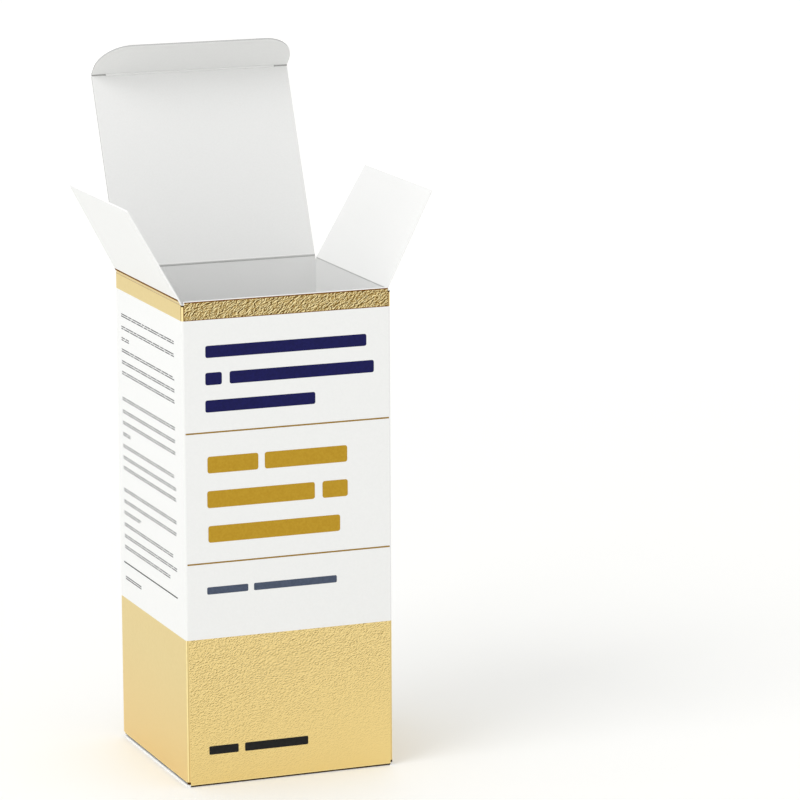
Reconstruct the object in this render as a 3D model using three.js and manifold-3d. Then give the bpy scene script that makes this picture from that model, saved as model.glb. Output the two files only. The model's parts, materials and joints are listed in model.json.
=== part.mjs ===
// An open folding carton of tablets: four walls and a closed bottom folded from one sheet of card,
// two dust flaps and a lid with a tuck flap at the open top, and a row of foil blister cards inside.
// Millimetres, +Z up, front towards -Y. The origin is at the middle of the underside.
import * as THREE from "three";
import { mergeVertices } from "three/addons/utils/BufferGeometryUtils.js";
import Module from "manifold-3d";

const wasm = await Module();
wasm.setup();

// carton, outside sizes
const CARTON_WIDTH = 65;
const CARTON_DEPTH = 62;
const CARTON_HEIGHT = 146;
const CARD = 0.5;
const FOLD_RADIUS = 0.8;
const FOLD_STEPS = 4;

// open top
const SIDE_RIM_DROP = 0.5;
const CORNER_RELIEF = 0.5;
const FLAP_STACK_CLEARANCE = 0.2;
const FOLD_CLEARANCE = 0.2;
const LID_SIDE_INSET = 0.9;
const LID_LEAN_DEG = 23;
const TUCK_HEIGHT = 13.7;
const TUCK_CORNER_RADIUS = 10.4;
const TUCK_BEND_DEG = 68;
const TUCK_CLEARANCE = 0.4;
const CORNER_STEPS = 10;
const DUST_LEAN_LEFT_DEG = 29;
const DUST_LEAN_RIGHT_DEG = 28;
const DUST_MEETING_GAP = 1.1;
const DUST_FRONT_CLEARANCE = 0.35;
const DUST_BACK_CLEARANCE = 0.3;
const DUST_FRONT_TAPER = 1.5;
const DUST_BACK_TAPER = 3.1;
const DUST_CORNER_RADIUS = 0.6;

// closed bottom
const BOTTOM_LAYER_GAP = 0.25;
const BOTTOM_TUCK_HEIGHT = 13.7;
const BOTTOM_TUCK_CLEARANCE = 0.25;
const BACK_WALL_LIFT = 0.2;
const CORNER_COLUMN_LIFT = 0.9;

// glued side seam
const GLUE_FLAP_WIDTH = 14;
const GLUE_FLAP_END_GAP = 4;
const GLUE_FLAP_TAPER = 4;
const GLUE_LINE = 0.05;
const SEAM_EDGE_SETBACK = 0.6;

// blister cards
const BLISTER_HEADROOM = 26;
const BLISTER_SIDE_CLEARANCE = 1.2;
const BLISTER_REST_GAP = 0.3;
const BLISTER_GAP = 0.3;
const BLISTER_FOIL = 0.4;
const BLISTER_CORNER_RADIUS = 3;
const POCKET_COLUMNS = 3;
const POCKET_ROWS = 5;
const POCKET_WIDTH = 11;
const POCKET_WEB = 2;
const POCKET_DEPTH = 6.6;
const POCKET_DRAFT = 0.8;
const POCKET_CHAMFER = 1.6;
const POCKET_END_STEPS = 3;

// places worked out from the sizes
const rad = THREE.MathUtils.degToRad;
const halfWidth = CARTON_WIDTH / 2;
const halfDepth = CARTON_DEPTH / 2;
const innerRadius = FOLD_RADIUS - CARD;
const sideRim = CARTON_HEIGHT - SIDE_RIM_DROP;
const lidPivotHeight = sideRim + CARD + FLAP_STACK_CLEARANCE;
const foldStart = CARD / 2 + FOLD_CLEARANCE;
const lidPivotDepth = halfDepth - CARD / 2;
const lidLength = lidPivotDepth + halfDepth - CARD - TUCK_CLEARANCE - CARD / 2;
const lidHalfWidth = halfWidth - LID_SIDE_INSET;
const dustPivotWidth = halfWidth - CARD / 2;
const dustLength = dustPivotWidth - DUST_MEETING_GAP / 2;
const bottomFlapBase = CARD + BOTTOM_LAYER_GAP;
const bottomFlapTop = bottomFlapBase + CARD;
const bottomTuckOuter = halfDepth - CARD - BOTTOM_TUCK_CLEARANCE;

const cardWhite = new THREE.MeshStandardMaterial({ color: 0xf1f1ee, roughness: 0.75, metalness: 0 });
const blisterFoil = new THREE.MeshStandardMaterial({ color: 0xc9cbce, roughness: 0.35, metalness: 0.9 });

// A closed geometry as a solid for joining and cutting.
function solid(geometry) {
  const bare = geometry.clone();
  bare.deleteAttribute("normal");
  bare.deleteAttribute("uv");
  const merged = mergeVertices(bare, 1e-4);
  return new wasm.Manifold(
    new wasm.Mesh({
      numProp: 3,
      vertProperties: new Float32Array(merged.attributes.position.array),
      triVerts: new Uint32Array(merged.index.array),
    }),
  );
}

// A solid back as a geometry, with flat shading.
function geometryOf(body) {
  const mesh = body.getMesh();
  const geometry = new THREE.BufferGeometry();
  geometry.setAttribute("position", new THREE.BufferAttribute(mesh.vertProperties, 3));
  geometry.setIndex(new THREE.BufferAttribute(mesh.triVerts, 1));
  const flat = geometry.toNonIndexed();
  flat.computeVertexNormals();
  return flat;
}

// A block between two corners.
function block(low, high) {
  const size = high.map((value, axis) => value - low[axis]);
  const geometry = new THREE.BoxGeometry(...size);
  geometry.translate(...low.map((value, axis) => value + size[axis] / 2));
  return solid(geometry);
}

// An outline with straight sides, as a list of corners; arcs are already stepped in the list.
function shapeOf(points) {
  return new THREE.Shape(points.map(([x, y]) => new THREE.Vector2(x, y)));
}

// Points of an arc, from one angle to another in degrees.
function arc(centreX, centreY, radius, fromDeg, toDeg, steps) {
  return Array.from({ length: steps + 1 }, (_, i) => {
    const angle = rad(fromDeg + ((toDeg - fromDeg) * i) / steps);
    return [centreX + radius * Math.cos(angle), centreY + radius * Math.sin(angle)];
  });
}

// Plan outline stood up along Z.
function prismZ(points, low, high) {
  const geometry = new THREE.ExtrudeGeometry(shapeOf(points), { depth: high - low, bevelEnabled: false });
  geometry.translate(0, 0, low);
  return geometry;
}

// Outline in (y, z) drawn along X.
function prismX(points, low, high) {
  const geometry = new THREE.ExtrudeGeometry(shapeOf(points), { depth: high - low, bevelEnabled: false });
  geometry.applyMatrix4(
    new THREE.Matrix4().makeBasis(
      new THREE.Vector3(0, 1, 0),
      new THREE.Vector3(0, 0, 1),
      new THREE.Vector3(1, 0, 0),
    ),
  );
  geometry.translate(low, 0, 0);
  return geometry;
}

// Outline in (x, z) drawn along Y.
function prismY(points, low, high) {
  const geometry = new THREE.ExtrudeGeometry(shapeOf(points), { depth: high - low, bevelEnabled: false });
  geometry.rotateX(Math.PI / 2);
  geometry.translate(0, high, 0);
  return geometry;
}

// A flat flap in its fold's own frame: across the fold along X, away from the fold along Z,
// card thickness centred on Y. Its sides slope in by their tapers and its free corners are rounded.
function flapOutline(left, right, leftTaper, rightTaper, start, end, radius) {
  const slopeOf = (taper) => Math.atan2(taper, end - start);
  const degrees = THREE.MathUtils.radToDeg;
  const inwards = (taper) => (taper * (end - radius - start)) / (end - start) + radius / Math.cos(slopeOf(taper));
  const centreHeight = end - radius;
  const rightCentre = right - inwards(rightTaper);
  const leftCentre = left + inwards(leftTaper);
  const rightSlope = degrees(slopeOf(rightTaper));
  const leftSlope = degrees(slopeOf(leftTaper));
  return [
    [left, start],
    [right, start],
    ...arc(rightCentre, centreHeight, radius, rightSlope, 90, CORNER_STEPS),
    ...arc(leftCentre, centreHeight, radius, 90, 180 - leftSlope, CORNER_STEPS),
  ];
}

// The four walls in plan: one sheet that starts at the seam's cut edge at the back left corner,
// goes round the front, right and back, and ends in the glue flap inside the left wall.
function wallPlan() {
  const left = -halfWidth;
  const right = halfWidth;
  const front = -halfDepth;
  const back = halfDepth;
  const glueOuter = left + CARD + GLUE_LINE;
  const glueFront = back - CARD - GLUE_FLAP_WIDTH;
  const r = FOLD_RADIUS;
  const q = innerRadius;
  const n = FOLD_STEPS;
  return [
    [left, back - SEAM_EDGE_SETBACK],
    ...arc(left + r, front + r, r, 180, 270, n),
    ...arc(right - r, front + r, r, 270, 360, n),
    ...arc(right - r, back - r, r, 0, 90, n),
    ...arc(glueOuter + r, back - r, r, 90, 180, n),
    [glueOuter, glueFront],
    [glueOuter + CARD, glueFront],
    ...arc(glueOuter + r, back - r, q, 180, 90, n),
    ...arc(right - r, back - r, q, 90, 0, n),
    ...arc(right - r, front + r, q, 360, 270, n),
    ...arc(left + r, front + r, q, 270, 180, n),
    [left + CARD, back - SEAM_EDGE_SETBACK],
  ];
}

// Front fold, bottom panel and its tuck flap behind the back wall, seen from the side.
function bottomPanelSection() {
  const front = -halfDepth;
  const r = FOLD_RADIUS;
  const q = innerRadius;
  const n = FOLD_STEPS;
  const turn = bottomTuckOuter - r;
  return [
    [front, r + CARD],
    ...arc(front + r, r, r, 180, 270, n),
    ...arc(turn, r, r, 270, 360, n),
    [bottomTuckOuter, r + CARD],
    [bottomTuckOuter - CARD, r + CARD],
    ...arc(turn, r, q, 360, 270, n),
    ...arc(front + r, r, q, 270, 180, n),
    [front + CARD, r + CARD],
  ];
}

// A side wall's bottom fold and dust flap, seen from the front; side is -1 at the left, 1 at the right.
function bottomDustSection(side) {
  const wall = side * halfWidth;
  const centreX = wall - side * FOLD_RADIUS;
  const centreZ = bottomFlapBase + FOLD_RADIUS;
  const tip = wall - side * (CARD / 2 + dustLength);
  const from = side < 0 ? 180 : 0;
  const outer = arc(centreX, centreZ, FOLD_RADIUS, from, side < 0 ? 270 : -90, FOLD_STEPS);
  const inner = arc(centreX, centreZ, innerRadius, side < 0 ? 270 : -90, from, FOLD_STEPS);
  const points = [
    [wall, centreZ + CARD],
    ...outer,
    [tip, bottomFlapBase],
    [tip, bottomFlapTop],
    ...inner,
    [wall - side * CARD, centreZ + CARD],
  ];
  return side < 0 ? points : points.reverse();
}

// Walls, seam, closed bottom: one folded sheet.
function cartonBody() {
  const far = CARTON_WIDTH + CARTON_DEPTH;
  const flatX = halfWidth - FOLD_RADIUS;
  const flatY = halfDepth - FOLD_RADIUS;
  const sideFoldTop = bottomFlapBase + FOLD_RADIUS;
  let body = solid(prismZ(wallPlan(), BACK_WALL_LIFT, lidPivotHeight));

  // the rim: front edge, side creases a little lower, and a relief at each corner
  body = body.subtract(block([-far, -far, CARTON_HEIGHT], [far, flatY - CARD, far + CARTON_HEIGHT]));
  for (const side of [-1, 1]) {
    const inX = side * flatX;
    const outX = side * far;
    const lowX = Math.min(inX, outX);
    const highX = Math.max(inX, outX);
    body = body.subtract(block([lowX, -far, sideRim], [highX, far, far + CARTON_HEIGHT]));
    for (const end of [-1, 1]) {
      const lowY = Math.min(end * flatY, end * far);
      const highY = Math.max(end * flatY, end * far);
      body = body.subtract(
        block([lowX, lowY, sideRim - CORNER_RELIEF], [highX, highY, far + CARTON_HEIGHT]),
      );
    }
    // room below for the side wall's bottom fold
    body = body.subtract(block([lowX, -flatY, -far], [highX, flatY, sideFoldTop]));
  }
  // room below for the front wall's bottom fold, and the open corner notches
  body = body.subtract(block([-far, -far, -far], [far, -flatY, CORNER_COLUMN_LIFT]));

  // glue flap ends, cut back at a slant
  const glueBack = halfDepth - FOLD_RADIUS;
  const glueFront = halfDepth - CARD - GLUE_FLAP_WIDTH - CARD;
  const glueLow = -halfWidth + CARD + GLUE_LINE / 2;
  const glueHigh = glueLow + 2 * CARD;
  const lowEnd = sideFoldTop + GLUE_FLAP_END_GAP;
  const highEnd = sideRim - GLUE_FLAP_END_GAP;
  const trimLow = [
    [glueFront, 0],
    [glueBack, 0],
    [glueBack, lowEnd],
    [glueFront, lowEnd + GLUE_FLAP_TAPER],
  ];
  const trimHigh = [
    [glueFront, highEnd - GLUE_FLAP_TAPER],
    [glueBack, highEnd],
    [glueBack, CARTON_HEIGHT + CARD],
    [glueFront, CARTON_HEIGHT + CARD],
  ];
  body = body.subtract(solid(prismX(trimLow, glueLow, glueHigh)));
  body = body.subtract(solid(prismX(trimHigh, glueLow, glueHigh)));

  // bottom panel with its tuck flap, and the two dust flaps above it
  body = body.add(solid(prismX(bottomPanelSection(), -flatX, flatX)));
  const tuck = flapOutline(-flatX, flatX, 0, 0, FOLD_RADIUS, BOTTOM_TUCK_HEIGHT, TUCK_CORNER_RADIUS);
  body = body.add(solid(prismY(tuck, bottomTuckOuter - CARD, bottomTuckOuter)));
  const dustBack = bottomTuckOuter - CARD - DUST_FRONT_CLEARANCE;
  for (const side of [-1, 1]) {
    body = body.add(solid(prismY(bottomDustSection(side), -flatY, dustBack)));
  }
  return geometryOf(body);
}

// Lid: a plain panel from the back fold to the tuck fold.
function lid() {
  const outline = [
    [-lidHalfWidth, foldStart],
    [lidHalfWidth, foldStart],
    [lidHalfWidth, lidLength - foldStart],
    [-lidHalfWidth, lidLength - foldStart],
  ];
  return prismY(outline, -CARD / 2, CARD / 2);
}

// Tuck flap: straight at the fold, its two free corners widely rounded.
function tuckFlap() {
  const outline = flapOutline(
    -lidHalfWidth,
    lidHalfWidth,
    0,
    0,
    foldStart,
    TUCK_HEIGHT,
    TUCK_CORNER_RADIUS,
  );
  return prismY(outline, -CARD / 2, CARD / 2);
}

// Dust flap: narrower towards its free end, clear of the tuck flap in front and the back wall.
// In the flap's frame the front edge is at the low end of X.
function dustFlap() {
  const frontEdge = -halfDepth + CARD + TUCK_CLEARANCE + CARD + DUST_FRONT_CLEARANCE;
  const backEdge = halfDepth - CARD - DUST_BACK_CLEARANCE;
  const outline = flapOutline(
    frontEdge,
    backEdge,
    DUST_FRONT_TAPER,
    DUST_BACK_TAPER,
    foldStart,
    dustLength,
    DUST_CORNER_RADIUS,
  );
  return prismY(outline, -CARD / 2, CARD / 2);
}

// One tablet pocket: an oblong with drafted walls and a chamfered top, standing out towards -Y.
function pocket(centreX, centreZ, length) {
  const half = length / 2 - POCKET_WIDTH / 2;
  const levels = [
    [0, 0],
    [POCKET_DEPTH - POCKET_CHAMFER, POCKET_DRAFT],
    [POCKET_DEPTH, POCKET_DRAFT + POCKET_CHAMFER],
  ];
  const rings = levels.map(([rise, inset]) => {
    const radius = POCKET_WIDTH / 2 - inset;
    return [
      ...arc(centreX, centreZ + half, radius, 0, 180, POCKET_END_STEPS),
      ...arc(centreX, centreZ - half, radius, 180, 360, POCKET_END_STEPS),
    ].map(([x, z]) => [x, -rise, z]);
  });
  rings[0] = rings[0].map(([x, , z]) => [x, BLISTER_FOIL / 2, z]);
  const count = rings[0].length;
  const points = rings.flat();
  const faces = [];
  for (let level = 0; level + 1 < rings.length; level++) {
    for (let i = 0; i < count; i++) {
      const a = level * count + i;
      const b = level * count + ((i + 1) % count);
      faces.push([a, b, b + count], [a, b + count, a + count]);
    }
  }
  for (let i = 1; i + 1 < count; i++) {
    faces.push([0, i + 1, i]);
    const top = (rings.length - 1) * count;
    faces.push([top, top + i, top + i + 1]);
  }
  const geometry = new THREE.BufferGeometry();
  geometry.setAttribute("position", new THREE.Float32BufferAttribute(points.flat(), 3));
  geometry.setIndex(faces.flat());
  return solid(geometry);
}

// One blister card: a sheet of foil laminate with its pockets towards the front. Its frame's
// origin is at the middle of its lower edge, at the front of the foil.
function blisterCard(width, height) {
  const r = BLISTER_CORNER_RADIUS;
  const outline = [
    ...arc(width / 2 - r, r, r, -90, 0, FOLD_STEPS),
    ...arc(width / 2 - r, height - r, r, 0, 90, FOLD_STEPS),
    ...arc(r - width / 2, height - r, r, 90, 180, FOLD_STEPS),
    ...arc(r - width / 2, r, r, 180, 270, FOLD_STEPS),
  ];
  let body = solid(prismY(outline, 0, BLISTER_FOIL));
  const columnPitch = width / POCKET_COLUMNS;
  const rowPitch = height / POCKET_ROWS;
  for (let row = 0; row < POCKET_ROWS; row++) {
    for (let column = 0; column < POCKET_COLUMNS; column++) {
      const x = (column + 0.5) * columnPitch - width / 2;
      const z = (row + 0.5) * rowPitch;
      body = body.add(pocket(x, z, rowPitch - POCKET_WEB));
    }
  }
  return geometryOf(body);
}

const carton = new THREE.Group();

function piece(name, geometry, material) {
  const mesh = new THREE.Mesh(geometry, material);
  mesh.name = name;
  return mesh;
}

carton.add(piece("carton_body", cartonBody(), cardWhite));

// Lid on the back wall's top edge, leaning back, with the tuck flap bent forward at its far edge.
const lidFold = new THREE.Group();
lidFold.position.set(0, lidPivotDepth, lidPivotHeight);
lidFold.rotation.x = -rad(LID_LEAN_DEG);
lidFold.add(piece("lid", lid(), cardWhite));
const tuckFold = new THREE.Group();
tuckFold.position.set(0, 0, lidLength);
tuckFold.rotation.x = rad(TUCK_BEND_DEG);
tuckFold.add(piece("tuck_flap", tuckFlap(), cardWhite));
lidFold.add(tuckFold);
carton.add(lidFold);

// Dust flaps on the side walls' top edges, splayed outwards.
for (const [name, side, lean] of [
  ["left_dust_flap", -1, DUST_LEAN_LEFT_DEG],
  ["right_dust_flap", 1, DUST_LEAN_RIGHT_DEG],
]) {
  const sideFold = new THREE.Group();
  sideFold.position.set(side * dustPivotWidth, 0, sideRim);
  sideFold.rotation.y = side * rad(lean);
  const flap = piece(name, dustFlap(), cardWhite);
  flap.rotation.z = Math.PI / 2;
  sideFold.add(flap);
  carton.add(sideFold);
}

// Blister cards standing one behind the other, as many as the carton's depth takes.
const glueFlapFace = CARD + GLUE_LINE;
const blisterWidth = CARTON_WIDTH - 2 * CARD - glueFlapFace - 2 * BLISTER_SIDE_CLEARANCE;
const blisterFloor = bottomFlapTop + BLISTER_REST_GAP;
const blisterHeight = CARTON_HEIGHT - BLISTER_HEADROOM - blisterFloor;
const blisterPitch = BLISTER_FOIL + POCKET_DEPTH + BLISTER_GAP;
const stackFront = -halfDepth + CARD;
const stackBack = bottomTuckOuter - CARD;
const blisterCount = Math.floor((stackBack - stackFront - BLISTER_GAP) / blisterPitch);
const stackSlack = stackBack - stackFront - blisterCount * blisterPitch + BLISTER_GAP;
for (let i = 0; i < blisterCount; i++) {
  const card = piece("blister_card_" + (i + 1), blisterCard(blisterWidth, blisterHeight), blisterFoil);
  card.position.set(
    glueFlapFace / 2,
    stackFront + stackSlack / 2 + POCKET_DEPTH + i * blisterPitch,
    blisterFloor,
  );
  carton.add(card);
}

export default carton;
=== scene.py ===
import json
import math

import bmesh
import bpy
from mathutils import Matrix, Vector


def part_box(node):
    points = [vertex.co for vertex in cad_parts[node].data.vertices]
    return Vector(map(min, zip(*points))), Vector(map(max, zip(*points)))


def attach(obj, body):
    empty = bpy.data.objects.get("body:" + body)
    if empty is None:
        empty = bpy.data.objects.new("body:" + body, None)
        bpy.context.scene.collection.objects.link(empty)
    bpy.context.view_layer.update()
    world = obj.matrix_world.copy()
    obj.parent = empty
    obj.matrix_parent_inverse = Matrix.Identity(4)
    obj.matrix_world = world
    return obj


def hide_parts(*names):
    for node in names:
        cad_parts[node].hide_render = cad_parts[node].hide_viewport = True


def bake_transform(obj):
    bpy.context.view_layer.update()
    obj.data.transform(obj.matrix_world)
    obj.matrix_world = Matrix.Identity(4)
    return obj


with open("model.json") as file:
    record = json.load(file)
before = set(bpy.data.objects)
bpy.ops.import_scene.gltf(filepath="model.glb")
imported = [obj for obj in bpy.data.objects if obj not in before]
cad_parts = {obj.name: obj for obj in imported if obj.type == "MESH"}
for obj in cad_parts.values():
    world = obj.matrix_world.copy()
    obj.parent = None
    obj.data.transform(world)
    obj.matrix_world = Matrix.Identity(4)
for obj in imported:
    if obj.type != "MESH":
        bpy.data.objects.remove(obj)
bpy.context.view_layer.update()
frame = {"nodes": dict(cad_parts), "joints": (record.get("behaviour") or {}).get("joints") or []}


# The walls, the side seam and the closed bottom: one sheet of white carton board half a millimetre thick.
# It is printed on its coated face, cut and creased, folded round into a tube and glued in the back left
# corner. The bottom panel folds under it and tucks up inside the back wall, below two dust flaps.
MM = 0.001
CARD = 0.5


def millimetres(place):
    """A place given in metres, in millimetres to a thousandth of one."""
    return [round(value / MM, 3) for value in place]


fold_places = {joint["child"]: millimetres(joint["pos_m"]) for joint in frame["joints"]}
LEFT, FRONT, _ = millimetres(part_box("carton_body")[0])
RIGHT, BACK, _ = millimetres(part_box("carton_body")[1])
LID_FOLD = fold_places["lid"][2]
SIDE_FOLD = fold_places["left_dust_flap"][2]
FOLD_REACH = 0.4
FOLD_RADIUS = 0.8
FOLD_SEGMENTS = 5
FRONT_RIM = 146.0
WALL_LOW, WALL_HIGH = 1.6, 145.0
FRONT_COLUMN_LOW, BACK_COLUMN_LOW = 0.9, 0.2
SEAM_EDGE = 30.4
GLUE_FLAP_FACE = -31.95
GLUE_FLAP_END = 16.5
GLUE_FLAP_LOW, GLUE_FLAP_HIGH, GLUE_FLAP_SLANT = 5.55, 141.5, 4.0
BOTTOM_TUCK_FACE, BOTTOM_TUCK_TOP = 30.25, 13.7
BOTTOM_TUCK_CORNER = 10.4
BOTTOM_DUST_FACE, BOTTOM_DUST_BACK, BOTTOM_DUST_TIP = 0.75, 29.4, 0.55
BOTTOM_EDGE_SHIFT = 0.65
FAR = 400.0
PICK_SLACK = 0.02
SMOOTH_ANGLE = math.radians(32)

# heights and widths of the print, and of the painted shade and shadow at the folds and corner notches
NOTCH_SHADE_LOW, NOTCH_SHADE_HIGH = 1.5, 144.5
FIELD_TOP = 44.8
BAND_LOW, BAND_LINE_HIGH = 140.3, 140.5
CREASE_LOW = 144.85
RIM_LINE_LOW, RIM_LINE_HIGH = 145.5, 145.82
GOLD_BLEED = 1.6
PRINT_SLACK = 0.1

# a Mix node's colour sockets go by number, because its sockets of other kinds share their names
MIX_SHARE, MIX_FIRST, MIX_SECOND, MIX_RESULT = 0, 6, 7, 2


def shader_of(material):
    return material.node_tree.nodes["Principled BSDF"]


def surface(name, colour, roughness, metallic=0.0):
    """A new material with its shader's own colour, roughness and metal share."""
    material = bpy.data.materials.new(name)
    material.use_nodes = True
    shader = shader_of(material)
    shader.inputs["Base Color"].default_value = (*colour, 1.0)
    shader.inputs["Roughness"].default_value = roughness
    shader.inputs["Metallic"].default_value = metallic
    return material


def node(material, kind, **values):
    """One more node in a material; values fill its inputs by name, with _ for a space."""
    made = material.node_tree.nodes.new(kind)
    for name, value in values.items():
        made.inputs[name.replace("_", " ")].default_value = value
    return made


def sum_node(material, operation):
    """A Math node that adds or subtracts."""
    made = node(material, "ShaderNodeMath")
    made.operation = operation
    return made


def wire(material, source, output, target, entry):
    material.node_tree.links.new(source.outputs[output], target.inputs[entry])


def place_of(material, **changes):
    """Object coordinates through a Mapping node that may move, turn or stretch the pattern."""
    coordinates = node(material, "ShaderNodeTexCoord")
    mapping = node(material, "ShaderNodeMapping", **changes)
    wire(material, coordinates, "Object", mapping, "Vector")
    return mapping


def grain(material, place, scale, detail=2.0, rough=0.5, distortion=0.0):
    """A noise pattern on the piece's own coordinates."""
    noise = node(
        material, "ShaderNodeTexNoise", Scale=scale, Detail=detail, Roughness=rough, Distortion=distortion
    )
    wire(material, place, "Vector", noise, "Vector")
    return noise


def ramp(material, source, output, spread, dark, light):
    """Two colours laid out over a spread to either side of a pattern's middle value."""
    colours = node(material, "ShaderNodeValToRGB")
    colours.color_ramp.elements[0].position = 0.5 - spread
    colours.color_ramp.elements[0].color = (*dark, 1.0)
    colours.color_ramp.elements[1].position = 0.5 + spread
    colours.color_ramp.elements[1].color = (*light, 1.0)
    wire(material, source, output, colours, "Fac")
    return colours


def tint(material, pattern, shade, colour, spread=0.15):
    """Lets a noise pattern move the shader's colour a little between two tones."""
    tones = ramp(material, pattern, "Fac", spread, shade, colour)
    wire(material, tones, "Color", shader_of(material), "Base Color")


def colour_mix(material, source, output):
    """A Mix node for the shader's colour that takes its share from another node."""
    mix = node(material, "ShaderNodeMix")
    mix.data_type = "RGBA"
    wire(material, source, output, mix, MIX_SHARE)
    wire(material, mix, MIX_RESULT, shader_of(material), "Base Color")
    return mix


def relief(material, height, output, strength, distance):
    """Bump from a pattern, in metres at full strength."""
    bump = node(material, "ShaderNodeBump", Strength=strength, Distance=distance)
    wire(material, height, output, bump, "Height")
    wire(material, bump, "Normal", shader_of(material), "Normal")


def coated_board(name, colour, shade):
    """Smooth printed side: slight mottle in the coat, a very fine orange peel, a soft sheen."""
    material = surface(name, colour, roughness=0.42)
    place = place_of(material)
    tint(material, grain(material, place, scale=1400.0, detail=4.0, rough=0.6), shade, colour)
    relief(material, grain(material, place, scale=2600.0), "Fac", strength=0.25, distance=0.00002)
    return material


def bare_board(name, colour, shade):
    """Uncoated side and cut edges: paper fibres, a little mottled and quite matte."""
    material = surface(name, colour, roughness=0.85)
    mottle = grain(material, place_of(material), scale=1900.0, detail=5.0, rough=0.65)
    tint(material, mottle, shade, colour, spread=0.2)
    along_fibres = place_of(material, Scale=(1.0, 1.0, 0.45))
    fibres = grain(material, along_fibres, scale=3400.0, detail=4.0, rough=0.65, distortion=0.4)
    relief(material, fibres, "Fac", strength=0.4, distance=0.00003)
    return material


def satin_gold_finish(name, colour, shade, warm):
    """Gold ink printed smooth: satin, faintly cloudy with metal flakes, warmer near the foot of the pack."""
    material = surface(name, colour, roughness=0.42, metallic=0.82)
    place = place_of(material)
    clouds = grain(material, place, scale=900.0, detail=4.0, rough=0.6)
    tones = ramp(material, clouds, "Fac", spread=0.15, dark=shade, light=colour)
    parts = node(material, "ShaderNodeSeparateXYZ")
    wire(material, place, "Vector", parts, "Vector")
    warmth = node(material, "ShaderNodeMapRange", From_Min=0.034, From_Max=0.0)
    wire(material, parts, "Z", warmth, "Value")
    mix = colour_mix(material, warmth, "Result")
    wire(material, tones, "Color", mix, MIX_FIRST)
    mix.inputs[MIX_SECOND].default_value = (*warm, 1.0)
    relief(material, grain(material, place, scale=5200.0), "Fac", strength=0.25, distance=0.00002)
    return material


def shaded_gold_finish(name, colour, shade):
    """Dull dark gold ink, for painted shade on folds, creases and gaps and for dark gold lines."""
    material = surface(name, colour, roughness=0.8)
    shader_of(material).inputs["Specular IOR Level"].default_value = 0.0
    tint(material, grain(material, place_of(material), scale=1800.0, detail=3.0), shade, colour)
    return material


def embossing(material, stretch, turn, scale, detail, distortion, step):
    """A stamped pattern's height and its slope towards the upper left, 0.5 on the flat and more where it
    rises to the light; colours drawn from it are painted light.
    """
    sideways = 0.3
    heights = []
    for shift in (0.0, step):
        turned = place_of(material, Rotation=(0.0, turn, 0.0))
        moved = (sideways * shift, 0.0, -shift)
        place = node(material, "ShaderNodeMapping", Scale=stretch, Location=moved)
        wire(material, turned, "Vector", place, "Vector")
        heights.append(grain(material, place, scale, detail, distortion=distortion))
    slope = sum_node(material, "SUBTRACT")
    wire(material, heights[0], "Fac", slope, 0)
    wire(material, heights[1], "Fac", slope, 1)
    centred = sum_node(material, "ADD")
    centred.inputs[1].default_value = 0.5
    wire(material, slope, "Value", centred, 0)
    return heights[0], centred


def painted_relief_light(material, slope, reach, dark, flat, light):
    """Painted shade on slopes turned from the light, the foil's own gold on the flat and painted highlights
    on slopes facing it.
    """
    tones = ramp(material, slope, "Value", reach, dark, light)
    tones.color_ramp.elements.new(0.5).color = (*flat, 1.0)
    return tones


def hammered_gold_finish(name):
    """Gold foil stamped with a coarse wrinkled pattern, with painted highlights on its ridges and painted
    shade in its creases.
    """
    material = surface(name, (0.62, 0.43, 0.16), roughness=0.36, metallic=0.9)
    height, slope = embossing(
        material,
        stretch=(1.0, 1.0, 2.0),
        turn=math.radians(30),
        scale=680.0,
        detail=1.6,
        distortion=1.4,
        step=0.00034,
    )
    tones = painted_relief_light(
        material,
        slope,
        reach=0.10,
        dark=(0.07, 0.035, 0.004),
        flat=(0.47, 0.31, 0.095),
        light=(1.0, 0.86, 0.48),
    )
    wire(material, tones, "Color", shader_of(material), "Base Color")
    relief(material, height, "Fac", strength=1.0, distance=0.0004)
    return material


def grained_gold_finish(name):
    """Gold foil with a fine leather grain whose painted highlights and shade are strongest towards the top
    left of the panel.
    """
    material = surface(name, (0.82, 0.63, 0.27), roughness=0.4, metallic=0.85)
    height, slope = embossing(
        material,
        stretch=(1.0, 1.0, 1.7),
        turn=math.radians(12),
        scale=1700.0,
        detail=1.4,
        distortion=0.6,
        step=0.00018,
    )
    tones = painted_relief_light(
        material,
        slope,
        reach=0.125,
        dark=(0.20, 0.11, 0.012),
        flat=(0.83, 0.635, 0.256),
        light=(0.93, 0.75, 0.36),
    )
    flat_tone_from = 0.45
    tones.color_ramp.elements[1].position = flat_tone_from
    # the painted light's share of the colour grows towards the top and the left, leaving plain gold near the
    # foot
    rise = place_of(material, Location=(0.0, 0.0, 0.08), Scale=(-5.0, 0.0, 26.0))
    parts = node(material, "ShaderNodeSeparateXYZ")
    wire(material, rise, "Vector", parts, "Vector")
    painted_light_share = sum_node(material, "ADD")
    painted_light_share.use_clamp = True
    wire(material, parts, "X", painted_light_share, 0)
    wire(material, parts, "Z", painted_light_share, 1)
    mix = colour_mix(material, painted_light_share, "Value")
    mix.inputs[MIX_FIRST].default_value = (0.855, 0.655, 0.266, 1.0)
    wire(material, tones, "Color", mix, MIX_SECOND)
    relief(material, height, "Fac", strength=0.5, distance=0.00015)
    return material


def standing_plane(name, centre, turn, length, width):
    """A plane of a given size in millimetres with its place in its mesh, open in edit mode."""
    bpy.ops.object.select_all(action="DESELECT")
    bpy.ops.mesh.primitive_plane_add(size=MM, location=[value * MM for value in centre], rotation=turn)
    piece = bpy.context.object
    piece.name = piece.data.name = name
    piece.scale = (length, width, 1.0)
    bpy.ops.object.transform_apply(location=True, rotation=True, scale=True)
    bpy.ops.object.mode_set(mode="EDIT")
    bpy.ops.mesh.select_mode(type="EDGE")
    return piece


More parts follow.
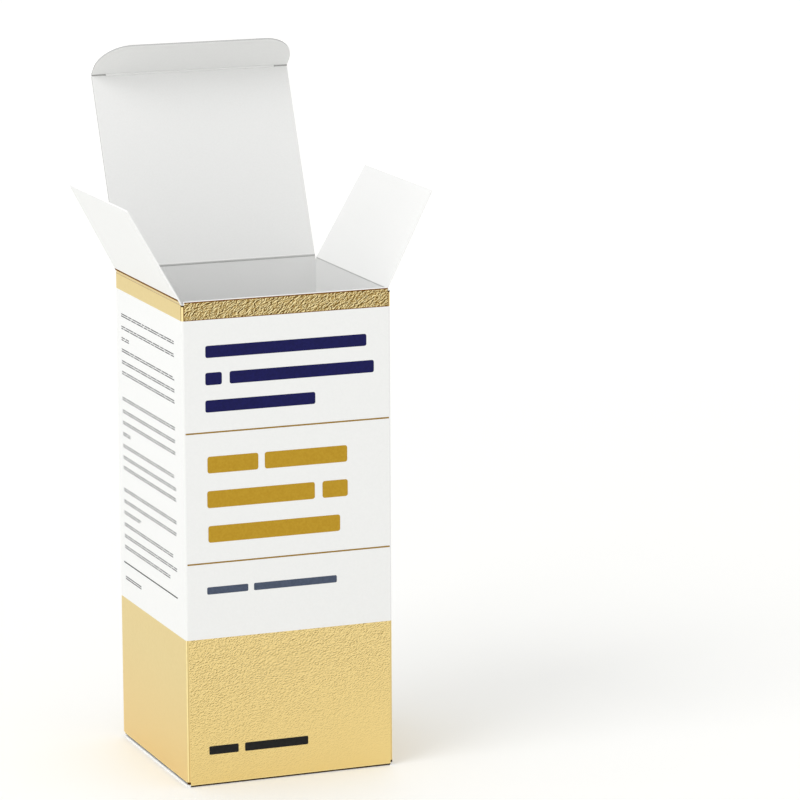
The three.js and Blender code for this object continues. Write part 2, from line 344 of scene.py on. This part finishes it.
def inside(corner, low, high):
    """Whether a corner in metres lies in a box in millimetres, with a little slack."""
    return all(low[k] - PICK_SLACK <= corner[k] / MM <= high[k] + PICK_SLACK for k in range(3))


def pick(kind, *boxes):
    """Selects what lies in any of the boxes, in millimetres, on the piece that is in edit mode."""
    bpy.ops.mesh.select_mode(type=kind)
    bpy.ops.mesh.select_all(action="DESELECT")
    mesh = bmesh.from_edit_mesh(bpy.context.object.data)
    for item in {"VERT": mesh.verts, "EDGE": mesh.edges, "FACE": mesh.faces}[kind]:
        corners = [item.co] if kind == "VERT" else [vert.co for vert in item.verts]
        for low, high in boxes:
            if all(inside(corner, low, high) for corner in corners):
                item.select_set(True)
    bmesh.update_edit_mesh(bpy.context.object.data)


def pull(x, y, z):
    """Extrudes the picked edges by a distance in millimetres."""
    bpy.ops.mesh.extrude_edges_move(TRANSFORM_OT_translate={"value": (x * MM, y * MM, z * MM)})


def extend(low, high, level, target):
    """Pulls the edges between two points of one level up or down to another level."""
    pick("EDGE", ((*low, level), (*high, level)))
    pull(0, 0, target - level)


def upright(x, y):
    """The box of an upright edge, for pick."""
    return (x, y, 0), (x, y, FAR)


def round_fold():
    bpy.ops.mesh.bevel(offset=FOLD_RADIUS * MM, segments=FOLD_SEGMENTS, affect="EDGES")


def round_corners(radius, segments):
    bpy.ops.mesh.bevel(offset=radius * MM, segments=segments, affect="VERTICES")


def cut_across(point, normal, clear=False):
    """Bisects what is picked; clear drops the side that the normal points to."""
    bpy.ops.mesh.bisect(
        plane_co=[value * MM for value in point], plane_no=normal, clear_outer=clear, use_fill=False,
    )


def dress(piece, chooser, *materials):
    """Gives each face the material that chooser numbers by its centre in millimetres and its normal."""
    for material in materials:
        piece.data.materials.append(material)
    for face in piece.data.polygons:
        face.material_index = chooser(millimetres(face.center), face.normal)


def thicken(piece, offset, edge_finish, shade_finish=None, shaded=None):
    """Board thickness, with a finish for its cut edges and one for the inner places that shaded tells.

    The rest of the inside takes the last material that the piece already has.
    """
    sheet_faces = len(piece.data.polygons)
    wall = piece.modifiers.new("board", "SOLIDIFY")
    wall.thickness = CARD * MM
    wall.offset = offset
    wall.use_even_offset = True
    wall.material_offset = wall.material_offset_rim = len(piece.data.materials)
    bpy.ops.object.modifier_apply(modifier=wall.name)
    piece.data.materials.append(edge_finish)
    piece.data.materials.append(shade_finish or edge_finish)
    edge_number = len(piece.data.materials) - 2
    for face in piece.data.polygons[2 * sheet_faces:]:
        face.material_index = edge_number
    if shaded:
        for face in piece.data.polygons[sheet_faces:2 * sheet_faces]:
            if shaded(millimetres(face.center)):
                face.material_index = edge_number + 1
    bpy.ops.object.shade_smooth_by_angle(angle=SMOOTH_ANGLE)
    even = piece.modifiers.new("even shading", "WEIGHTED_NORMAL")
    even.keep_sharp = True
    bpy.ops.object.modifier_apply(modifier=even.name)


white_outside = coated_board("white_coated_board", colour=(0.862, 0.866, 0.856), shade=(0.845, 0.85, 0.84))
white_inside = bare_board("white_bare_board", colour=(0.90, 0.902, 0.892), shade=(0.88, 0.882, 0.872))
cut_edge = bare_board("white_cut_edge", colour=(0.93, 0.93, 0.92), shade=(0.90, 0.90, 0.89))
satin_gold = satin_gold_finish(
    "satin_gold_ink", colour=(0.79, 0.635, 0.29), shade=(0.77, 0.615, 0.275), warm=(0.83, 0.61, 0.25)
)
# gold with a painted highlight, for the middle of the rounded corners and the bottom fold's turn
painted_highlight_gold = satin_gold_finish(
    "gold_fold_painted_highlight", colour=(0.97, 0.82, 0.42), shade=(0.92, 0.76, 0.37), warm=(0.97, 0.80, 0.38)
)
# gold with a painted soft shade, just under the side walls' top fold and on one strip of the rounded corners
soft_shade_gold = satin_gold_finish(
    "gold_painted_soft_shade", colour=(0.60, 0.44, 0.17), shade=(0.56, 0.40, 0.15), warm=(0.60, 0.40, 0.14)
)
# dark orange gold: painted crease shade on the folds and corner edges, and the thin dark lines at the front
# rim and the band's foot
dark_line_and_crease_shade_gold = shaded_gold_finish("orange_gold_line_and_painted_crease_shade", colour=(0.20, 0.07, 0.002), shade=(0.15, 0.05, 0.001))
# near-black gold: painted shadow under the bottom fold and at the corner notches
painted_shadow_gold = shaded_gold_finish(
    "shadowed_gold_fold", colour=(0.07, 0.03, 0.006), shade=(0.035, 0.015, 0.002)
)
hammered_gold = hammered_gold_finish("hammered_gold_foil")
grained_gold = grained_gold_finish("grained_gold_foil")

# the left wall, and from its front edge the front, right and back walls and the glue flap
walls = standing_plane(
    "carton_walls",
    (LEFT, (SEAM_EDGE + FRONT) / 2, (WALL_LOW + WALL_HIGH) / 2),
    (0.0, math.radians(-90), 0.0),
    WALL_HIGH - WALL_LOW,
    SEAM_EDGE - FRONT,
)
pick("EDGE", upright(LEFT, FRONT))
pull(RIGHT - LEFT, 0, 0)
pull(0, BACK - FRONT, 0)
pull(GLUE_FLAP_FACE - RIGHT, 0, 0)
pull(0, GLUE_FLAP_END - BACK, 0)
pick(
    "EDGE",
    upright(LEFT, FRONT),
    upright(RIGHT, FRONT),
    upright(RIGHT, BACK),
    upright(GLUE_FLAP_FACE, BACK),
)
round_fold()

# the rims above the corner reliefs
flat_front, flat_back = FRONT + FOLD_RADIUS, BACK - FOLD_RADIUS
flat_left, flat_right = LEFT + FOLD_RADIUS, RIGHT - FOLD_RADIUS
extend((flat_left, FRONT), (flat_right, FRONT), WALL_HIGH, FRONT_RIM)
extend((GLUE_FLAP_FACE, BACK), (flat_right, BACK), WALL_HIGH, LID_FOLD - FOLD_REACH)
extend((LEFT, flat_front), (LEFT, SEAM_EDGE), WALL_HIGH, SIDE_FOLD - FOLD_REACH)
extend((RIGHT, flat_front), (RIGHT, flat_back), WALL_HIGH, SIDE_FOLD - FOLD_REACH)

# the side walls end at their bottom dust flaps, so they are parted where those flaps end
pick(
    "FACE",
    ((LEFT, flat_front, 0), (LEFT, SEAM_EDGE, FAR)),
    ((RIGHT, flat_front, 0), (RIGHT, flat_back, FAR)),
)
cut_across((0, BOTTOM_DUST_BACK, 0), (0, 1, 0))

# corner columns and the back wall down to just above the floor
extend((LEFT, FRONT), (flat_left, flat_front), WALL_LOW, FRONT_COLUMN_LOW)
extend((flat_right, FRONT), (RIGHT, flat_front), WALL_LOW, FRONT_COLUMN_LOW)
extend((GLUE_FLAP_FACE, flat_back), (RIGHT, BACK), WALL_LOW, BACK_COLUMN_LOW)

# bottom panel from the front wall, its tuck flap up inside the back wall
extend((flat_left, FRONT), (flat_right, FRONT), WALL_LOW, 0)
pull(0, BOTTOM_TUCK_FACE - FRONT, 0)
pull(0, 0, BOTTOM_TUCK_TOP)
pick(
    "EDGE",
    ((flat_left, FRONT, 0), (flat_right, FRONT, 0)),
    ((flat_left, BOTTOM_TUCK_FACE, 0), (flat_right, BOTTOM_TUCK_FACE, 0)),
)
round_fold()
pick(
    "VERT",
    ((flat_left, BOTTOM_TUCK_FACE, BOTTOM_TUCK_TOP), (flat_right, BOTTOM_TUCK_FACE, BOTTOM_TUCK_TOP)),
)
round_corners(BOTTOM_TUCK_CORNER, segments=10)

# bottom dust flaps from the side walls, above the bottom panel
for wall_face, tip in ((LEFT, -BOTTOM_DUST_TIP), (RIGHT, BOTTOM_DUST_TIP)):
    extend((wall_face, flat_front), (wall_face, BOTTOM_DUST_BACK), WALL_LOW, BOTTOM_DUST_FACE)
    pull(tip - wall_face, 0, 0)
    pick(
        "EDGE",
        ((wall_face, flat_front, BOTTOM_DUST_FACE), (wall_face, BOTTOM_DUST_BACK, BOTTOM_DUST_FACE)),
    )
    round_fold()

# the glue flap's slanted ends
glue_run = flat_back - GLUE_FLAP_END
for height, run in ((GLUE_FLAP_LOW, -glue_run), (GLUE_FLAP_HIGH, glue_run)):
    pick("FACE", ((GLUE_FLAP_FACE, GLUE_FLAP_END, 0), (GLUE_FLAP_FACE, flat_back, FAR)))
    cut_across((GLUE_FLAP_FACE, flat_back, height), (0, -GLUE_FLAP_SLANT, run), clear=True)

# the bottom panel is cut as wide as the pack, so its raw edges show under the side walls
pick("FACE", ((LEFT, FRONT, 0), (RIGHT, BOTTOM_TUCK_FACE, 0)))
cut_across((0, FRONT + GOLD_BLEED, 0), (0, 1, 0))
for edge_x, shift in ((flat_left, -BOTTOM_EDGE_SHIFT), (flat_right, BOTTOM_EDGE_SHIFT)):
    pick("VERT", ((edge_x, FRONT + GOLD_BLEED, 0), (edge_x, BOTTOM_TUCK_FACE, 0)))
    bpy.ops.transform.translate(value=(shift * MM, 0, 0))

# where one print meets the next
print_heights = (
    NOTCH_SHADE_LOW,
    FIELD_TOP,
    BAND_LOW,
    BAND_LINE_HIGH,
    NOTCH_SHADE_HIGH,
    CREASE_LOW,
    RIM_LINE_LOW,
    RIM_LINE_HIGH,
)
for height in print_heights:
    bpy.ops.mesh.select_all(action="SELECT")
    cut_across((0, 0, height), (0, 0, 1))
bpy.ops.object.mode_set(mode="OBJECT")

# numbers of the prints, painted highlights and painted shades by their order in dress, and of those on a
# corner's strips from side to front
WHITE, SATIN, PAINTED_HIGHLIGHT, DARK_LINE_AND_CREASE_SHADE, PAINTED_SOFT_SHADE, PAINTED_SHADOW, HAMMERED, GRAINED, INSIDE = range(9)
# a corner's rounded strips: on the band painted shade at both ends with a painted highlight between, on the
# field a painted highlight then a painted soft shade
BAND_CORNER = (DARK_LINE_AND_CREASE_SHADE, PAINTED_HIGHLIGHT, PAINTED_HIGHLIGHT, PAINTED_HIGHLIGHT, DARK_LINE_AND_CREASE_SHADE)
FIELD_CORNER = (SATIN, PAINTED_HIGHLIGHT, PAINTED_HIGHLIGHT, PAINTED_SOFT_SHADE, SATIN)
FLAT = 0.999
UNDERSIDE, FOLD_SHADE, FOLD_LIGHT = -0.9, -0.3, -0.1


def wall_print(centre, normal):
    """Which print, painted highlight or painted shade a face of the walls carries."""
    x, y, z = centre
    on_bottom = normal.z < UNDERSIDE and y > FRONT + GOLD_BLEED
    on_bottom_tuck = (
        abs(x) < flat_right
        and abs(y - BOTTOM_TUCK_FACE) < FOLD_RADIUS + PRINT_SLACK
        and abs(y - BACK) > PRINT_SLACK
        and z < BOTTOM_TUCK_TOP
    )
    if abs(x - GLUE_FLAP_FACE) < PRINT_SLACK and y < flat_back:
        return INSIDE
    if on_bottom or on_bottom_tuck or FIELD_TOP < z < BAND_LOW:
        return WHITE
    # the bottom fold: a painted highlight where it starts to turn under, a painted shadow beneath
    if normal.z < FOLD_LIGHT:
        return PAINTED_HIGHLIGHT if normal.z > FOLD_SHADE else PAINTED_SHADOW
    # front and back: the foils, with a dark gold line at the rim and at the band's foot
    if abs(normal.y) > FLAT:
        if y < 0 and z > RIM_LINE_HIGH:
            return WHITE
        if z > RIM_LINE_LOW or BAND_LOW < z < BAND_LINE_HIGH:
            return DARK_LINE_AND_CREASE_SHADE
        return HAMMERED if z > BAND_LOW else GRAINED
    # side walls: satin gold, with a painted soft shade just under the top fold
    if abs(normal.x) > FLAT:
        return PAINTED_SOFT_SHADE if z > CREASE_LOW else SATIN
    # the ends of the rounded corners: a painted shadow for the dark gap at each notch
    if z > NOTCH_SHADE_HIGH or z < NOTCH_SHADE_LOW:
        return PAINTED_SHADOW
    share_of_turn = math.degrees(math.atan2(abs(normal.y), abs(normal.x))) / 90
    strip = min(int(share_of_turn * FOLD_SEGMENTS), FOLD_SEGMENTS - 1)
    return BAND_CORNER[strip] if z > BAND_LOW else FIELD_CORNER[strip]


dress(
    walls,
    wall_print,
    white_outside,
    satin_gold,
    painted_highlight_gold,
    dark_line_and_crease_shade_gold,
    soft_shade_gold,
    painted_shadow_gold,
    hammered_gold,
    grained_gold,
    white_inside,
)
thicken(walls, offset=-1.0, edge_finish=cut_edge)
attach(walls, "carton")
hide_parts("carton_body")


# The lid: a plain panel of the same sheet, hinged on a crease along the back wall's top edge.
# Its printed face looks back, and its bare face looks towards the front, darker than the walls' board
# as painted shade. The board bulges softly on the inside of the crease, where a darker painted shade lies.
LID_LEAN = math.radians(23)
LID_END = 60.15
LID_HALF_WIDTH = millimetres(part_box("lid")[1])[0]
FOLD_STEPS = 6
FOLD_BEAD = 0.16
LID_SHADE_LOW, LID_SHADE_HIGH = LID_FOLD - 0.3, LID_FOLD + 0.15

# painted shade on one white board: the lid's bare face darker than the walls' inside, its cut edges grey,
# its inner crease darker still
lid_board_painted_shade = bare_board("lid_bare_board_painted_shade", colour=(0.83, 0.832, 0.822), shade=(0.805, 0.807, 0.797))
painted_edge_shade = bare_board("cut_edge_grey_painted_shade", colour=(0.52, 0.52, 0.515), shade=(0.47, 0.47, 0.465))
inner_crease = bare_board("shaded_inner_crease", colour=(0.62, 0.62, 0.61), shade=(0.57, 0.57, 0.56))


def fold_back(start, corner, end, inwards, rise):
    """Extrudes a picked edge from end back to start round a soft bend that bulges a little inwards."""
    here = end
    for step in range(FOLD_STEPS - 1, -1, -1):
        t = step / FOLD_STEPS
        there = start * (1 - t) ** 2 + corner * (2 * t * (1 - t)) + end * t**2
        there = there + inwards * (rise * math.sin(math.pi * t))
        pull(*(there - here))
        here = there


def lid_print(centre, normal):
    """The dark gold line and painted crease shade below the fold and white above it, by their order in
    dress.
    """
    return 1 if centre[2] < LID_FOLD else 0


def in_lid_crease(centre):
    return LID_SHADE_LOW < centre[2] < LID_SHADE_HIGH


lid_pivot = Vector(fold_places["lid"])
lid_way = Vector((0, math.sin(LID_LEAN), math.cos(LID_LEAN)))
lid_root = lid_pivot + lid_way * FOLD_REACH
lid_tip = lid_pivot + lid_way * LID_END
lid_panel = standing_plane(
    "lid_panel",
    (lid_root + lid_tip) / 2,
    (-math.radians(90) - LID_LEAN, 0.0, 0.0),
    2 * LID_HALF_WIDTH,
    LID_END - FOLD_REACH,
)
pick("EDGE", ((-FAR, lid_root.y, lid_root.z), (FAR, lid_root.y, lid_root.z)))
fold_back(lid_pivot - Vector((0, 0, FOLD_REACH)), lid_pivot, lid_root, Vector((0, -1, 0)), FOLD_BEAD)
bpy.ops.object.mode_set(mode="OBJECT")
dress(lid_panel, lid_print, white_outside, dark_line_and_crease_shade_gold, lid_board_painted_shade)
thicken(lid_panel, 0.0, painted_edge_shade, shade_finish=inner_crease, shaded=in_lid_crease)
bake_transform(lid_panel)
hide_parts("lid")


# The tuck flap: the lid's front edge bent over, its two free corners widely rounded.
# A crease bead joins it to the lid, and a short slit at each end of the crease lets it lock.
TUCK_BEND = math.radians(68)
TUCK_REACH = 0.45
TUCK_END = 13.7
TUCK_CORNER = 10.4
LID_LENGTH = 60.6
BEAD_RISE = 0.28
BEAD_SHAPE = ((0.25, 0.75), (0.5, 1.0), (0.75, 0.75), (1.0, 0.0))
LOCK_SLIT = 4.4
SLIT_REACH = 0.75
CREASE_HALF = LID_HALF_WIDTH - LOCK_SLIT

# painted shade: dark grey board where the slits' ends lie in shadow; the tuck's inner face and cut edges
# take the lid's painted shade
slit_shade = bare_board("shaded_slit", colour=(0.40, 0.40, 0.39), shade=(0.34, 0.34, 0.33))


def tuck_print(centre, normal):
    """White all over."""
    return 0


def in_slit(centre):
    return centre[2] < tuck_root.z and abs(centre[0]) > CREASE_HALF


tuck_pivot = lid_pivot + lid_way * LID_LENGTH
tuck_lean = LID_LEAN - TUCK_BEND
tuck_way = Vector((0, math.sin(tuck_lean), math.cos(tuck_lean)))
tuck_root = tuck_pivot + tuck_way * TUCK_REACH
tuck_tip = tuck_pivot + tuck_way * TUCK_END
tuck_panel = standing_plane(
    "tuck_flap_panel",
    (tuck_root + tuck_tip) / 2,
    (-math.radians(90) - tuck_lean, 0.0, 0.0),
    2 * LID_HALF_WIDTH,
    TUCK_END - TUCK_REACH,
)
pick("VERT", ((-FAR, tuck_tip.y, tuck_tip.z), (FAR, tuck_tip.y, tuck_tip.z)))
round_corners(TUCK_CORNER, segments=12)
for side in (-1, 1):
    bpy.ops.mesh.select_all(action="SELECT")
    cut_across((side * CREASE_HALF, 0, 0), (1, 0, 0))
chord = lid_tip - tuck_root
for low_x, high_x in ((-LID_HALF_WIDTH, -CREASE_HALF), (CREASE_HALF, LID_HALF_WIDTH)):
    pick("EDGE", ((low_x, tuck_root.y, tuck_root.z), (high_x, tuck_root.y, tuck_root.z)))
    pull(*(chord * SLIT_REACH))
pick("EDGE", ((-CREASE_HALF, tuck_root.y, tuck_root.z), (CREASE_HALF, tuck_root.y, tuck_root.z)))
bead_way = Vector((0, chord.z, -chord.y)).normalized()
if bead_way.y > 0:
    bead_way.negate()
here = tuck_root
for share, rise in BEAD_SHAPE:
    there = tuck_root + chord * share + bead_way * (BEAD_RISE * rise)
    pull(*(there - here))
    here = there
bpy.ops.object.mode_set(mode="OBJECT")
dress(tuck_panel, tuck_print, white_outside, lid_board_painted_shade)
thicken(tuck_panel, 0.0, painted_edge_shade, shade_finish=slit_shade, shaded=in_slit)
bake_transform(tuck_panel)
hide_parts("tuck_flap")


# The two dust flaps: tapered tongues on the side walls' top creases that fold in under the lid.
# The side wall's gold runs over the crease on their printed face and ends there in a dark line of painted
# crease shade; a painted shade also lies on the crease's inner face.
DUST_FLAPS = ((-1, 29, "left_dust_flap"), (1, 28, "right_dust_flap"))
DUST_END = 31.7
DUST_ROOT_FRONT = millimetres(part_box("left_dust_flap")[0])[1]
DUST_ROOT_BACK = millimetres(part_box("left_dust_flap")[1])[1]
DUST_TAPER_FRONT, DUST_TAPER_BACK = 1.5, 3.1
DUST_CORNER = 0.6
SIDE_LINE_LOW, SIDE_LINE_HIGH = 145.95, 146.6
SIDE_SHADE_LOW, SIDE_SHADE_HIGH = SIDE_FOLD - 0.25, SIDE_FOLD + 0.05


def dust_flap_print(centre, normal):
    """White, the dark line of painted crease shade, or the side wall's gold from the top down, by their
    order in dress.
    """
    if centre[2] > SIDE_LINE_HIGH:
        return 0
    return 1 if centre[2] > SIDE_LINE_LOW else 2


def in_side_crease(centre):
    return SIDE_SHADE_LOW < centre[2] < SIDE_SHADE_HIGH


for side, degrees, name in DUST_FLAPS:
    lean = math.radians(degrees)
    pivot = Vector(fold_places[name])
    way = Vector((side * math.sin(lean), 0, math.cos(lean)))
    root = pivot + way * FOLD_REACH
    tip = pivot + way * DUST_END
    middle = (root + tip) / 2
    middle.y = (DUST_ROOT_FRONT + DUST_ROOT_BACK) / 2
    flap = standing_plane(
        name + "_panel",
        middle,
        (0.0, side * (math.radians(90) + lean), 0.0),
        DUST_END - FOLD_REACH,
        DUST_ROOT_BACK - DUST_ROOT_FRONT,
    )
    for edge_y, shift in ((DUST_ROOT_FRONT, DUST_TAPER_FRONT), (DUST_ROOT_BACK, -DUST_TAPER_BACK)):
        pick("VERT", ((-FAR, edge_y, tip.z), (FAR, edge_y, tip.z)))
        bpy.ops.transform.translate(value=(0, shift * MM, 0))
    pick("VERT", ((-FAR, -FAR, tip.z), (FAR, FAR, tip.z)))
    round_corners(DUST_CORNER, segments=4)
    for height in (SIDE_LINE_LOW, SIDE_LINE_HIGH):
        bpy.ops.mesh.select_all(action="SELECT")
        cut_across((0, 0, height), (0, 0, 1))
    pick("EDGE", ((-FAR, -FAR, root.z), (FAR, FAR, root.z)))
    fold_back(pivot - Vector((0, 0, FOLD_REACH)), pivot, root, Vector((-side, 0, 0)), FOLD_BEAD / 2)
    bpy.ops.object.mode_set(mode="OBJECT")
    dress(flap, dust_flap_print, white_outside, dark_line_and_crease_shade_gold, satin_gold, white_inside)
    thicken(flap, 0.0, cut_edge, shade_finish=inner_crease, shaded=in_side_crease)
    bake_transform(flap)
    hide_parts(name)


# The print on the front panel: flat ink laid on the coat, in plain bars and full-width rules.
# Navy, metallic ochre, slate and black inks, each a film about a hundredth of a millimetre thick.
INK_LIFT = 0.006
INK_THICK = 0.014
RULE_HALF = 31.8


def ink(name, colour, shade, roughness, metallic=0.0):
    """Printed ink: a little uneven where it soaked in, smoother than the board under it."""
    material = surface(name, colour, roughness, metallic)
    shader_of(material).inputs["Specular IOR Level"].default_value = 0.15
    place = place_of(material)
    tint(material, grain(material, place, scale=1500.0, detail=4.0), shade, colour)
    relief(material, grain(material, place, scale=4200.0), "Fac", strength=0.2, distance=0.00002)
    return material


def printed(name, panel, bars, material, corner=0.0):
    """Bars on a panel, each (from, to, low, high) in millimetres along it and up it, joined in one film."""
    bpy.ops.object.select_all(action="DESELECT")
    films = []
    for start, end, low, high in bars:
        middle = (start + end) / 2
        height = (low + high) / 2
        if panel == "front":
            spot, turn = (middle, FRONT - INK_LIFT, height), (math.radians(90), 0.0, 0.0)
        else:
            spot, turn = (LEFT - INK_LIFT, middle, height), (math.radians(90), 0.0, math.radians(-90))
        bpy.ops.mesh.primitive_plane_add(size=MM, location=[value * MM for value in spot], rotation=turn)
        bpy.context.object.scale = (abs(end - start), high - low, 1.0)
        films.append(bpy.context.object)
    for film in films:
        film.select_set(True)
    if len(films) > 1:
        bpy.ops.object.join()
    piece = bpy.context.object
    piece.name = piece.data.name = name
    bpy.ops.object.transform_apply(location=True, rotation=True, scale=True)
    if corner:
        bpy.ops.object.mode_set(mode="EDIT")
        bpy.ops.mesh.select_mode(type="VERT")
        bpy.ops.mesh.select_all(action="SELECT")
        round_corners(corner, segments=3)
        bpy.ops.object.mode_set(mode="OBJECT")
    coat = piece.modifiers.new("film", "SOLIDIFY")
    coat.thickness = INK_THICK * MM
    coat.offset = 1.0
    bpy.ops.object.modifier_apply(modifier=coat.name)
    piece.data.materials.append(material)
    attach(piece, "carton")


navy_ink = ink("navy_ink", colour=(0.006, 0.006, 0.085), shade=(0.004, 0.004, 0.065), roughness=0.45)
ochre_ink = ink(
    "ochre_gold_ink", colour=(0.50, 0.30, 0.022), shade=(0.46, 0.265, 0.016), roughness=0.4, metallic=0.2
)
rule_ink = ink(
    "rule_gold_ink", colour=(0.34, 0.20, 0.03), shade=(0.29, 0.165, 0.02), roughness=0.4, metallic=0.2
)
slate_ink = ink("slate_ink", colour=(0.075, 0.095, 0.15), shade=(0.06, 0.078, 0.12), roughness=0.45)
black_ink = ink("black_ink", colour=(0.012, 0.012, 0.012), shade=(0.008, 0.008, 0.008), roughness=0.4)

title_bars = (
    (-25.4, 24.8, 129.0, 132.6),
    (-25.5, -20.4, 120.9, 124.6),
    (-18.0, 27.1, 120.9, 124.6),
    (-25.6, 8.6, 112.8, 116.4),
)
printed("title_print", "front", title_bars, navy_ink, corner=0.6)
claim_bars = (
    (-25.2, -9.4, 94.6, 99.6),
    (-7.4, 18.5, 94.6, 99.6),
    (-25.4, 8.2, 84.2, 89.3),
    (10.6, 18.6, 84.2, 89.3),
    (-25.2, 16.1, 73.8, 78.8),
)
printed("claim_print", "front", claim_bars, ochre_ink, corner=0.7)
variant_bars = (
    (-25.8, -13.0, 58.2, 60.4),
    (-11.2, 14.9, 58.2, 60.4),
)
printed("variant_print", "front", variant_bars, slate_ink, corner=0.4)
count_bars = (
    (-25.8, -16.6, 9.4, 12.0),
    (-14.6, 5.4, 9.4, 12.0),
)
printed("count_print", "front", count_bars, black_ink, corner=0.4)
rule_bars = (
    (-RULE_HALF, RULE_HALF, 106.57, 107.03),
    (-RULE_HALF, RULE_HALF, 67.42, 67.88),
)
printed("front_rules", "front", rule_bars, rule_ink)


# The fine print on the left panel: paragraphs of small grey lines, then a dark rule and a short last line.
# Each line is two rows of short dashes, printed in one film of ink like that of the front.
FINE_START = 26.0
FULL_LINE = -23.4
fine_lines = (
    (132.8, FULL_LINE),
    (129.0, FULL_LINE),
    (125.5, 19.0),
    (122.0, FULL_LINE),
    (118.4, FULL_LINE),
    (115.1, FULL_LINE),
    (107.1, FULL_LINE),
    (103.2, FULL_LINE),
    (99.7, FULL_LINE),
    (96.2, 19.0),
    (92.5, -21.8),
    (88.9, FULL_LINE),
    (85.7, FULL_LINE),
    (78.9, FULL_LINE),
    (75.3, FULL_LINE),
    (71.8, 10.0),
    (68.1, -20.0),
    (64.5, FULL_LINE),
    (61.1, -17.0),
)
LINE_ROWS = ((0.16, 0.48), (-0.5, -0.18))
WORD_GAP = 0.7
LEAST_ROOM = 1.2
word_lengths = (6.1, 3.2, 8.4, 2.1, 5.0, 7.3, 3.8, 6.6, 2.7, 9.0, 4.4)

fine_ink = ink("fine_print_ink", colour=(0.11, 0.113, 0.12), shade=(0.07, 0.073, 0.08), roughness=0.5)

fine_bars = []
words_set = 0
for height, line_end in fine_lines:
    for row_low, row_high in LINE_ROWS:
        at = FINE_START
        while at > line_end + LEAST_ROOM:
            word_end = max(at - word_lengths[words_set % len(word_lengths)], line_end)
            fine_bars.append((word_end, at, height + row_low, height + row_high))
            at = word_end - WORD_GAP
            words_set += 1
fine_bars.append((10.7, 25.8, 51.6, 51.92))
fine_bars.append((10.7, 25.8, 50.94, 51.26))
printed("fine_print", "left", fine_bars, fine_ink)
printed("fine_print_rule", "left", ((-23.7, 27.2, 55.88, 56.28),), black_ink)


# Eight blister cards that stand on end inside, loose between the walls.
# Each is a sheet of foil pressed cold into pockets and sealed with a flat foil back.
BLISTER_CARDS = 8
foil = surface("cold_formed_foil", (0.80, 0.81, 0.82), roughness=0.32, metallic=1.0)
foil_place = place_of(foil)
knurl = node(foil, "ShaderNodeTexVoronoi", Scale=1100.0)
wire(foil, foil_place, "Vector", knurl, "Vector")
clouds = grain(foil, foil_place, scale=160.0, detail=3.0)
tint(foil, clouds, shade=(0.74, 0.75, 0.76), colour=(0.84, 0.85, 0.86))
relief(foil, knurl, "Distance", strength=0.5, distance=0.0001)
for number in range(1, BLISTER_CARDS + 1):
    card = frame["nodes"]["blister_card_%d" % number]
    card.data.materials.clear()
    card.data.materials.append(foil)


# Floor, light and camera: a pale floor that glows a little more with distance, an even white
# surround, one soft light from the left, and a long lens at the photograph's viewing angle.
FLOOR_SIZE = 8.0
NEAR_REACH, FAR_REACH = 0.1, 1.1
NEAR_GLOW, FAR_GLOW = 0.05, 0.2
SURROUND_LIGHT = 0.87

bpy.ops.object.select_all(action="DESELECT")
bpy.ops.mesh.primitive_plane_add(size=FLOOR_SIZE, location=(0.0, 0.0, 0.0))
floor = bpy.context.object
floor.name = "studio_floor"
floor_finish = surface("pale_floor", (0.93, 0.93, 0.91), roughness=0.6)
shader_of(floor_finish).inputs["Emission Color"].default_value = (1.0, 1.0, 1.0, 1.0)
floor_place = node(floor_finish, "ShaderNodeTexCoord")
floor_reach = node(floor_finish, "ShaderNodeVectorMath")
floor_reach.operation = "LENGTH"
wire(floor_finish, floor_place, "Object", floor_reach, "Vector")
floor_glow = node(
    floor_finish,
    "ShaderNodeMapRange",
    From_Min=NEAR_REACH,
    From_Max=FAR_REACH,
    To_Min=NEAR_GLOW,
    To_Max=FAR_GLOW,
)
wire(floor_finish, floor_reach, "Value", floor_glow, "Value")
wire(floor_finish, floor_glow, "Result", shader_of(floor_finish), "Emission Strength")
floor.data.materials.append(floor_finish)

world = bpy.data.worlds.new("studio")
bpy.context.scene.world = world
world.use_nodes = True
world.node_tree.nodes["Background"].inputs["Color"].default_value = (1.0, 1.0, 1.0, 1.0)
world.node_tree.nodes["Background"].inputs["Strength"].default_value = SURROUND_LIGHT

KEY_SPOT, KEY_AIM = Vector((-0.82, -0.33, 1.2)), Vector((0.0, 0.0, 0.1))
KEY_SIZE, KEY_POWER = 0.7, 5.6
key_light = bpy.data.lights.new("key_left", "AREA")
key_light.size = KEY_SIZE
key_light.energy = KEY_POWER
key_holder = bpy.data.objects.new("key_left", key_light)
bpy.context.scene.collection.objects.link(key_holder)
key_holder.location = KEY_SPOT
key_holder.rotation_euler = (KEY_AIM - KEY_SPOT).to_track_quat("-Z", "Y").to_euler()

LENS_MM, SENSOR_MM = 205.0, 36.0
NEAREST, FARTHEST = 0.05, 50.0
CAMERA_SPOT = (-0.446953, -1.263500, 0.379567)
YAW, PITCH, ROLL = -0.373, 0.1996, -0.005
camera_data = bpy.data.cameras.new("photo_camera")
camera_data.lens = LENS_MM
camera_data.sensor_width = SENSOR_MM
camera_data.clip_start = NEAREST
camera_data.clip_end = FARTHEST
camera = bpy.data.objects.new("photo_camera", camera_data)
bpy.context.scene.collection.objects.link(camera)
back = Vector((math.sin(YAW) * math.cos(PITCH), -math.cos(YAW) * math.cos(PITCH), math.sin(PITCH)))
level = Vector((math.cos(YAW), math.sin(YAW), 0.0))
upward = back.cross(level)
right_axis = level * math.cos(ROLL) + upward * math.sin(ROLL)
up_axis = upward * math.cos(ROLL) - level * math.sin(ROLL)
stance = Matrix((right_axis, up_axis, back)).transposed().to_4x4()
stance.translation = Vector(CAMERA_SPOT)
camera.matrix_world = stance
bpy.context.scene.camera = camera
bpy.context.scene.view_settings.view_transform = "Standard"
